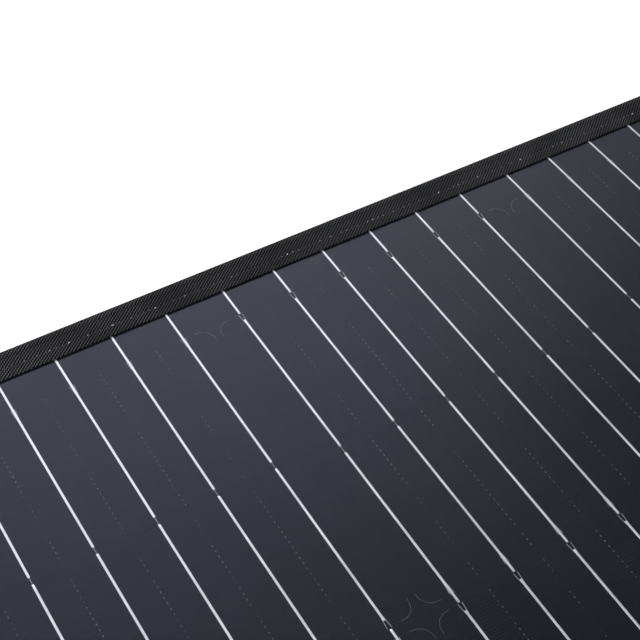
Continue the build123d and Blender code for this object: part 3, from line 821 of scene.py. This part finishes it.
def make_stitches():
    """Lockstitch along the tape, above and below, and the pale fibre ends at its holes."""
    threads = {row: Mesh() for row in range(1, ROWS + 1)}
    lint = {row: Mesh() for row in range(1, ROWS + 1)}
    gap = 0.12 * STITCH
    levels = ((TAPE_TOP - 0.27 * MM, THREAD), (0.17 * MM, THREAD * 0.8))
    for side, (_, _, axis) in SIDES.items():
        half = (EDGE_X if axis == 0 else FAR_Y) - STITCH_INSET
        count = round(2 * half / STITCH)
        for i in range(count):
            start = -half + 2 * half * i / count
            end = start + 2 * half / count
            inset = STITCH_INSET + random.uniform(-0.12, 0.12) * MM
            x, y, _ = tape_point(side, (start + end) / 2, STITCH_INSET, 0)
            if near_eyelet(x, y):
                continue
            for height, radius in levels:
                threads[row_at(y)].sweep(stitch_rings(side, start + gap, end - gap, inset, height,
                                                      radius))
            if random.random() < LINT_CHANCE:
                size = (0.08 + 0.24 * random.random() ** 2.5) * MM
                tuft = lint_rings(side, start, inset, size)
                _, y, _ = tape_point(side, start, STITCH_INSET, 0)
                if not near_bend(y):
                    lint[row_at(y)].sweep(tuft)
    for row in threads:
        piece = threads[row].piece(f"stitches_{row}", THREAD_BLACK, smooth=True)
        place_piece(piece, "binding", f"row_{row}")
        place_piece(lint[row].piece(f"lint_{row}", LINT, smooth=True), "binding", f"row_{row}")


# ---------------------------------------------------------------- the sheet, made
make_laminate()
for row_number in range(1, ROWS + 1):
    make_cells(row_number)
    make_prints(row_number)
    make_ribbons(row_number)
    if row_number < ROWS:
        make_ribbon_bends(row_number)
make_tapes()
make_stitches()

# ---------------------------------------------------------------- CAD nodes that stay
NODE_MATERIALS = {
    ("eyelets_far", "eyelets_near", "eyelet_washers_far", "eyelet_washers_near"):
        metal_material("nickel", (0.62, 0.60, 0.56, 1), 0.32),
    ("far_bus_ribbons", "near_bus_ribbons"): RIBBON,
    ("junction_box_base", "junction_box_lid"): plastic_material("box", 0.022, 0.5),
    ("gland_bodies", "gland_caps", "gland_locknuts"): plastic_material("gland", 0.026, 0.42),
    ("junction_box_gasket", "gland_seals"): plastic_material("rubber", 0.012, 0.75, 900.0),
    ("lid_screws",): metal_material("steel", (0.55, 0.55, 0.57, 1), 0.3),
    ("terminal_block",): plastic_material("block", 0.42, 0.55),
    ("terminal_clips",): metal_material("brass", (0.72, 0.55, 0.27, 1), 0.3),
    ("bypass_diodes",): plastic_material("diode", 0.02, 0.35),
}
for names, material in NODE_MATERIALS.items():
    for name in names:
        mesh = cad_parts[name].data
        mesh.materials.clear()
        mesh.materials.append(material)

# ---------------------------------------------------------------- floor, light and camera
FLOOR = -0.2 * MM
FLOOR_REACH = 6.0
CAMERA_PLACE = (-0.365, FAR_Y - 0.3885, 0.4727)
CAMERA_TURN = (41.22, -3.33, -32.06)         # degrees


def make_floor():
    m = Material("floor")
    tone = m.mix(m.noise(3.0, 2.0), grey(0.90), grey(0.93))
    material = m.principled({"Base Color": tone, "Roughness": 0.9, "Specular IOR Level": 0.1})
    r = FLOOR_REACH
    corners = [(-r, -r, FLOOR), (r, -r, FLOOR), (r, r, FLOOR), (-r, r, FLOOR)]
    make_piece("floor", corners, [(0, 1, 2, 3)], material)


def make_light(name, place, aim, size, watts):
    light = bpy.data.lights.new(name, "AREA")
    light.shape = "RECTANGLE"
    light.size, light.size_y = size
    light.energy = watts
    holder = bpy.data.objects.new(name, light)
    holder.location = place
    holder.rotation_euler = (Vector(aim) - Vector(place)).to_track_quat("-Z", "Y").to_euler()
    bpy.context.scene.collection.objects.link(holder)


def make_world():
    """A dim studio, paler near the floor, with one broad soft glow low beyond the sheet, which
    the sheet's gloss picks up."""
    world = bpy.data.worlds.new("studio")
    world.use_nodes = True
    tree = world.node_tree
    background = tree.nodes["Background"]
    direction = tree.nodes.new("ShaderNodeTexCoord").outputs["Generated"]

    def brightness_towards(axis, start, end, low, high):
        """From low to high, as the cosine of the angle to the axis goes from start to end."""
        towards = tree.nodes.new("ShaderNodeVectorMath")
        towards.operation = "DOT_PRODUCT"
        towards.inputs[1].default_value = Vector(axis).normalized()
        tree.links.new(direction, towards.inputs[0])
        ramp = tree.nodes.new("ShaderNodeMapRange")
        ramp.interpolation_type = "SMOOTHSTEP"
        for name, value in (("From Min", start), ("From Max", end), ("To Min", low),
                            ("To Max", high)):
            ramp.inputs[name].default_value = value
        tree.links.new(towards.outputs["Value"], ramp.inputs["Value"])
        return ramp.outputs["Result"]

    glow = brightness_towards((0.22, 0.80, 0.53), 0.78, 1.0, 0.17, 2.45)
    horizon = brightness_towards((0, 0, 1), 0.02, 0.5, 0.7, 0.0)
    total = tree.nodes.new("ShaderNodeMath")
    tree.links.new(glow, total.inputs[0])
    tree.links.new(horizon, total.inputs[1])
    tree.links.new(total.outputs[0], background.inputs["Strength"])
    background.inputs["Color"].default_value = (0.96, 0.97, 1.0, 1)
    bpy.context.scene.world = world


def make_camera():
    camera = bpy.data.cameras.new("camera")
    camera.lens, camera.sensor_width = 75.8, 36.0
    holder = bpy.data.objects.new("camera", camera)
    holder.location = CAMERA_PLACE
    holder.rotation_euler = Euler([math.radians(angle) for angle in CAMERA_TURN])
    bpy.context.scene.collection.objects.link(holder)
    bpy.context.scene.camera = holder


make_floor()
make_world()
make_light("key", (-1.9, 0.4, 2.2), (0, 0.4, 0), (1.6, 1.6), 85)
make_light("fill", (-0.6, -2.2, 2.0), (0, 0.2, 0), (2.0, 1.5), 65)
make_camera()
bpy.context.scene.view_settings.view_transform = "Standard"
